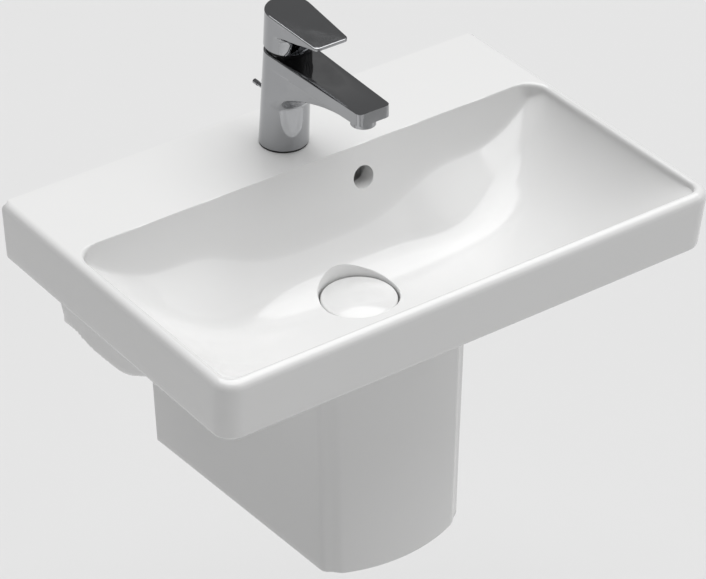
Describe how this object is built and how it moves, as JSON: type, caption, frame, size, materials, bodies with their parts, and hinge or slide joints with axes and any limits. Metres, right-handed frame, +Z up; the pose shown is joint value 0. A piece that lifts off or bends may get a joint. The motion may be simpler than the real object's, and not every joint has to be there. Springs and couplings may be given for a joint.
{
  "type": "pedestal sink",
  "caption": "Wall-hung rectangular washbasin with a half pedestal, single-lever mixer tap, pop-up waste, bottle trap and stop valves.",
  "frame": {"origin": "midway between the centres of the two wall-bolt holes, on the wall plane", "axes": "+X along the wall to the right seen from the front, -Y to the front of the basin, +Z up"},
  "size_m": [0.55, 0.41, 0.5253],
  "materials": {
    "ceramic": "white vitreous china, clear glaze",
    "ceramic_cover": "white vitreous china, clear glaze",
    "chrome": "polished chrome plate",
    "brass": "turned brass, satin",
    "steel": "brushed stainless steel",
    "rubber": "black moulded rubber",
    "black_plastic": "black moulded plastic, satin",
    "white_plastic": "white moulded plastic",
    "cartridge_plastic": "grey moulded plastic",
    "disc_ceramic": "ground alumina, unglazed"
  },
  "bodies": {
    "fixture": {"basin": "ceramic", "half_pedestal": "ceramic", "tap_body": "chrome", "aerator_housing": "chrome", "gap_ring": "black_plastic", "tap_gasket": "rubber", "aerator_seal": "rubber", "clamp_seal": "rubber", "waste_gasket_top": "rubber", "waste_gasket_bottom": "rubber", "ball_seal": "rubber", "trap_inlet_washer": "rubber", "trap_cup_seal": "rubber", "trap_outlet_washer": "rubber", "cartridge_body": "cartridge_plastic", "aerator_insert": "white_plastic", "disc_lower": "disc_ceramic", "clamp_plate": "steel", "cartridge_nut": "brass", "tap_stud": "brass", "clamp_nut": "brass", "tail_hot": "chrome", "tail_cold": "chrome", "waste_body": "chrome", "waste_washer": "white_plastic", "waste_nut": "brass", "waste_tail": "chrome", "ball_nut": "chrome", "trap_inlet_nut": "chrome", "trap_body": "chrome", "trap_dip_tube": "white_plastic", "trap_cup": "chrome", "trap_outlet_nut": "chrome", "outlet_pipe": "chrome", "outlet_rosette": "chrome", "valve_hot": "chrome", "valve_cold": "chrome", "valve_nuts": "chrome", "valve_rosettes": "chrome"},
    "rotor": {"cartridge_rotor": "cartridge_plastic", "pivot_pin": "steel"},
    "disc": {"disc_upper": "disc_ceramic"},
    "lever": {"lever_handle": "chrome", "cartridge_stem": "steel", "grub_screw": "steel", "screw_cover": "chrome"},
    "lift": {"lift_rod": "chrome", "lift_knob": "chrome", "strap": "steel", "strap_screw": "steel"},
    "ball_rod": {"ball_rod": "steel", "spring_clip": "steel"},
    "plug": {"plug_cover": "ceramic_cover", "plug_stem": "brass", "plug_seal": "rubber"},
    "valve_knob_hot": {"valve_handle_hot": "chrome"},
    "valve_knob_cold": {"valve_handle_cold": "chrome"}
  },
  "joints": [
    {"name": "lever_swivel", "type": "hinge", "parent": "fixture", "child": "rotor", "pos_m": [0, -0.07013, 0.20069], "axis": [0, -0.0767, 0.9971], "range_deg": [-45, 45]},
    {"name": "lever_tilt", "type": "hinge", "parent": "rotor", "child": "lever", "pos_m": [0, -0.06921, 0.18872], "axis": [-1, 0, 0], "range_deg": [0, 20]},
    {"name": "disc_slide", "type": "slide", "parent": "rotor", "child": "disc", "axis": [0, -0.9971, -0.0767], "range_m": [0, 0.0051]},
    {"name": "lift_slide", "type": "slide", "parent": "fixture", "child": "lift", "axis": [0, 0, 1], "range_m": [-0.02813, 0]},
    {"name": "ball_hinge", "type": "hinge", "parent": "fixture", "child": "ball_rod", "pos_m": [0, -0.1605, -0.101], "axis": [1, 0, 0], "range_deg": [-14.37, 0.05]},
    {"name": "plug_slide", "type": "slide", "parent": "fixture", "child": "plug", "axis": [0, 0, 1], "range_m": [-0.00002, 0.00605]},
    {"name": "valve_turn_hot", "type": "hinge", "parent": "fixture", "child": "valve_knob_hot", "pos_m": [-0.07, -0.06, -0.167], "axis": [0, -1, 0], "range_deg": [0, 90]},
    {"name": "valve_turn_cold", "type": "hinge", "parent": "fixture", "child": "valve_knob_cold", "pos_m": [0.07, -0.06, -0.167], "axis": [0, -1, 0], "range_deg": [0, 90]}
  ],
  "couplings": [
    {"joint": "disc_slide", "follows": "lever_tilt", "m_per_rad": 0.01425},
    {"joint": "ball_hinge", "follows": "lift_slide", "rad_per_m": 8.8889},
    {"joint": "plug_slide", "follows": "lift_slide", "ratio": -0.21333}
  ]
}
